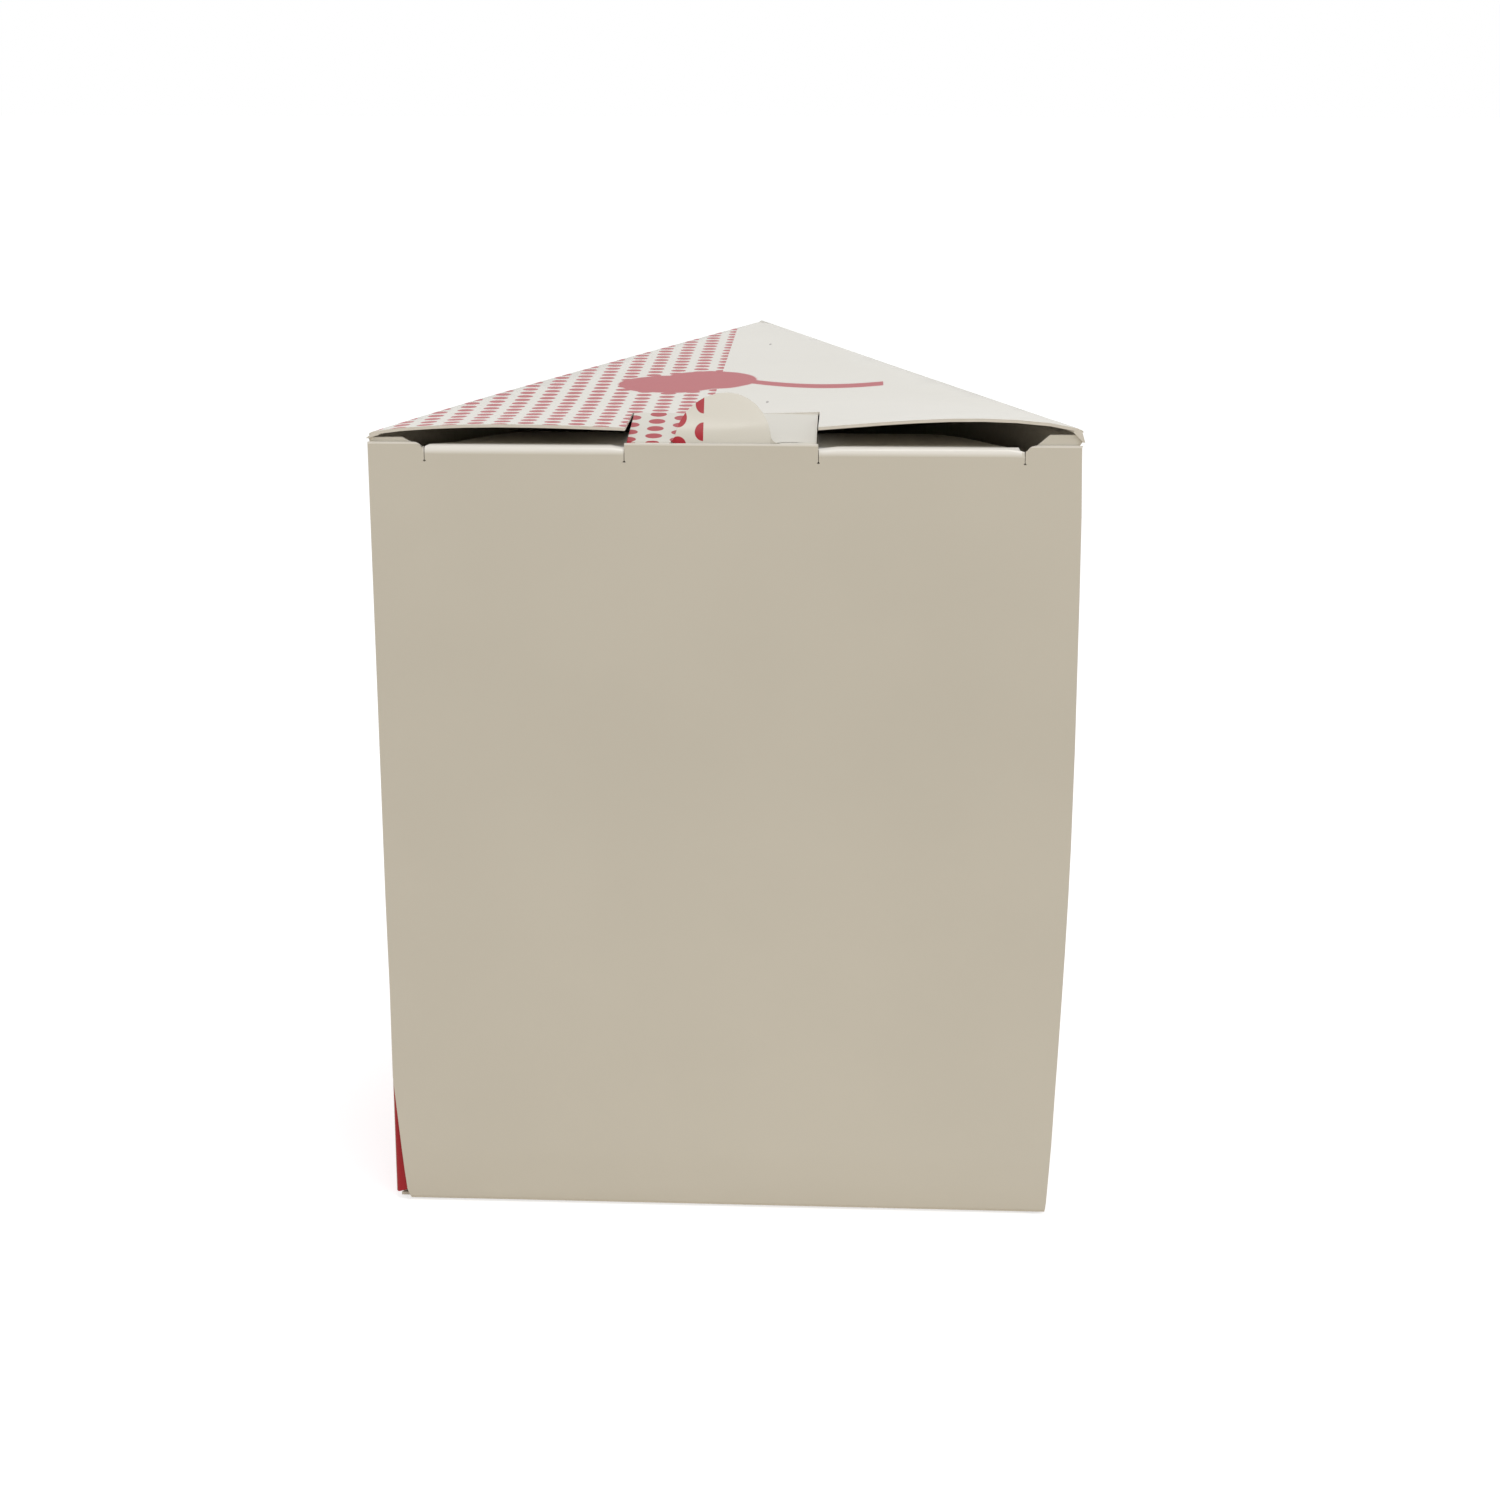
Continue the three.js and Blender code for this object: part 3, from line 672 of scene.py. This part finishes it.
# %% Fibre materials
def fibre_board(name, darker, lighter, roughness):
    material, tree, shader = new_material(name)
    where = add(tree, "ShaderNodeTexCoord", out="Object")
    fibre = add(tree, "ShaderNodeTexNoise", {"Vector": where, "Scale": 900.0, "Detail": 4.0})
    shade = add(tree, "ShaderNodeMix", {0: fibre, 6: linear(darker), 7: linear(lighter)}, out=2,
                data_type="RGBA")
    bump = add(tree, "ShaderNodeBump", {"Height": fibre, "Strength": 0.5, "Distance": 0.02 * MM})
    tree.links.new(shade, shader.inputs["Base Color"])
    tree.links.new(bump, shader.inputs["Normal"])
    shader.inputs["Roughness"].default_value = roughness
    return material


raw_board = fibre_board("uncoated_board_inside", "#CFC8BC", "#E0DBD1", 0.85)
cut_board = fibre_board("board_cut_edge", "#E6E2DA", "#F5F2EC", 0.7)
for obj in (carton, tongue):
    for material in (plain_board, lid_board, wall_board, tab_board, raw_board, cut_board):
        obj.data.materials.append(material)
crease.data.materials.append(lid_board)
print("materials:", [m.name for m in carton.data.materials])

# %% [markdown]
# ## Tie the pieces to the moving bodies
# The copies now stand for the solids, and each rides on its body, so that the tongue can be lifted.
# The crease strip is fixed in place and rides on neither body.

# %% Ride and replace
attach(carton, "box")
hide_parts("carton")
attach(tongue, "tongue")
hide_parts("locking_tongue")
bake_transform(crease)
print("pieces:", carton.name, tongue.name, crease.name)

# %% [markdown]
# ## The camera
# Its place and lens were found by fitting the corners of the solids to the corners in the photograph.
# It stands a little right of the middle and looks slightly down on the wide end.

# %% Camera
scene = bpy.context.scene
scene.view_settings.view_transform = "Standard"
camera_data = bpy.data.cameras.new("camera")
camera_data.lens = 67.54
camera = bpy.data.objects.new("camera", camera_data)
scene.collection.objects.link(camera)
scene.camera = camera
camera.location = (0.01867, -0.45316, 0.18129)
yaw, pitch = math.radians(-2.2), math.radians(-15.672)
look = Vector((math.sin(yaw) * math.cos(pitch), math.cos(yaw) * math.cos(pitch), math.sin(pitch)))
camera.rotation_mode = "QUATERNION"
camera.rotation_quaternion = look.to_track_quat("-Z", "Y")
print("camera at", [round(v, 3) for v in camera.location])

# %% [markdown]
# ## The floor
# The box is shown cut out on white, so the floor glows just enough to be white for the camera and
# still keeps the box's soft shadow. For mirrored rays only, the floor glows as a painted reflection:
# a pale table that ends in a soft level line, and beyond it a room that starts dark and grows paler with
# distance.

# %% Floor
FLOOR_Z = -0.2 * MM
# Places of the painted reflection that the floor shows to mirrored rays only.
REFLECTED_TABLE_MIDDLE = 5 * MM
REFLECTED_TABLE_HALF = 80 * MM
REFLECTED_TABLE_FADE = REAR - 204 * MM
REFLECTED_TABLE_END = REAR - 218 * MM
REFLECTED_ROOM_NEAR = REAR - 220 * MM
REFLECTED_ROOM_FAR = REAR - 600 * MM


def floor_material():
    material, tree, shader = new_material("stage_floor")
    tree.nodes.remove(shader)
    where = add(tree, "ShaderNodeTexCoord", out="Object")
    at = add(tree, "ShaderNodeSeparateXYZ", {0: where}).node.outputs
    near = add(tree, "ShaderNodeMapRange", {0: at["Y"], 1: REFLECTED_TABLE_END, 2: REFLECTED_TABLE_FADE},
               interpolation_type="SMOOTHSTEP")
    reflected_room = add(tree, "ShaderNodeMapRange", {0: at["Y"], 1: REFLECTED_ROOM_FAR, 2: REFLECTED_ROOM_NEAR, 3: 0.9, 4: 0.1},
               interpolation_type="SMOOTHSTEP")
    off = add(tree, "ShaderNodeMath", {0: at["X"], 1: REFLECTED_TABLE_MIDDLE}, operation="SUBTRACT")
    aside = add(tree, "ShaderNodeMath", {0: off}, operation="ABSOLUTE")
    across = add(tree, "ShaderNodeMapRange", {0: aside, 1: 0.0, 2: REFLECTED_TABLE_HALF, 3: 1.3, 4: 0.9},
                 interpolation_type="SMOOTHSTEP")
    reflected_table = add(tree, "ShaderNodeMath", {0: near, 1: across}, operation="MULTIPLY")
    strength = add(tree, "ShaderNodeMath", {0: reflected_table, 1: reflected_room}, operation="MAXIMUM")
    # Painted reflection: mirrored rays see the floor glow, brighter than white near the box, dark beyond a
    # level line, then paler with distance.
    painted_reflection = add(tree, "ShaderNodeEmission", {"Color": linear("#FFF6E8"), "Strength": strength})
    bounce = add(tree, "ShaderNodeBsdfDiffuse", {"Color": linear("#D9CFC0")})
    shadowed = add(tree, "ShaderNodeBsdfDiffuse", {"Color": linear("#D2D3D6")})
    glow = add(tree, "ShaderNodeEmission", {"Color": (1, 1, 1, 1), "Strength": 0.66})
    white = add(tree, "ShaderNodeAddShader", {0: shadowed, 1: glow})
    ray = add(tree, "ShaderNodeLightPath").node.outputs
    seen = add(tree, "ShaderNodeMath", {0: ray["Is Camera Ray"], 1: ray["Is Transmission Ray"]},
               operation="MAXIMUM")
    shown = add(tree, "ShaderNodeMixShader", {0: seen, 1: bounce, 2: white})
    final = add(tree, "ShaderNodeMixShader", {0: ray["Is Glossy Ray"], 1: shown, 2: painted_reflection})
    tree.links.new(final, tree.nodes["Material Output"].inputs["Surface"])
    return material


bm = bmesh.new()
bmesh.ops.create_grid(bm, x_segments=1, y_segments=1, size=3)
bmesh.ops.translate(bm, verts=bm.verts, vec=(0, 0, FLOOR_Z))
floor_mesh = bpy.data.meshes.new("floor")
bm.to_mesh(floor_mesh)
bm.free()
floor_mesh.materials.append(floor_material())
floor = bpy.data.objects.new("floor", floor_mesh)
scene.collection.objects.link(floor)
print("floor:", [round(v, 1) for v in floor.dimensions], "m")

# %% [markdown]
# ## The surroundings
# The world lights the box softly, warm near the horizon and neutral overhead. Rays from the camera
# and mirrored rays see plain white instead, so the background is white and reflections stay neutral.

# %% World
world = bpy.data.worlds.new("world")
scene.world = world
world.use_nodes = True
sky = world.node_tree
direction = add(sky, "ShaderNodeTexCoord", out="Generated")
height = add(sky, "ShaderNodeSeparateXYZ", {0: direction}, out=2)
upward = add(sky, "ShaderNodeMapRange", {0: height, 1: 0.1, 2: 0.7}, interpolation_type="SMOOTHSTEP")
glow = add(sky, "ShaderNodeMix", {0: upward, 6: linear("#E7DDCC"), 7: linear("#BFC1C2")}, out=2,
           data_type="RGBA")
ray = add(sky, "ShaderNodeLightPath").node.outputs
seen = add(sky, "ShaderNodeMath", {0: ray["Is Camera Ray"], 1: ray["Is Transmission Ray"]},
           operation="MAXIMUM")
seen = add(sky, "ShaderNodeMath", {0: seen, 1: ray["Is Glossy Ray"]}, operation="MAXIMUM")
shown = add(sky, "ShaderNodeMix", {0: seen, 6: glow, 7: (1, 1, 1, 1)}, out=2, data_type="RGBA")
sky.links.new(shown, sky.nodes["Background"].inputs["Color"])
sky.nodes["Background"].inputs["Strength"].default_value = 1.0
print("world nodes:", len(sky.nodes))

# %% [markdown]
# ## The lamp
# One soft panel high above, a little in front and to the right, gives the lid and the rounded fold
# more light than the upright front, as in the photograph.

# %% Lamp
LAMP_PLACE = Vector((0.12, -0.31, 0.97))
LAMP_AIM = Vector((0, -0.06, 0.1))
panel_light = bpy.data.lights.new("ceiling_panel", "AREA")
panel_light.shape = "RECTANGLE"
panel_light.size = 0.35
panel_light.size_y = 0.25
panel_light.energy = 2.35
panel_light.color = linear("#FFFCF8")[:3]
lamp = bpy.data.objects.new("ceiling_panel", panel_light)
scene.collection.objects.link(lamp)
lamp.location = LAMP_PLACE
lamp.rotation_mode = "QUATERNION"
lamp.rotation_quaternion = (LAMP_AIM - LAMP_PLACE).to_track_quat("-Z", "Y")
print("lamp:", lamp.name, panel_light.energy, "W")
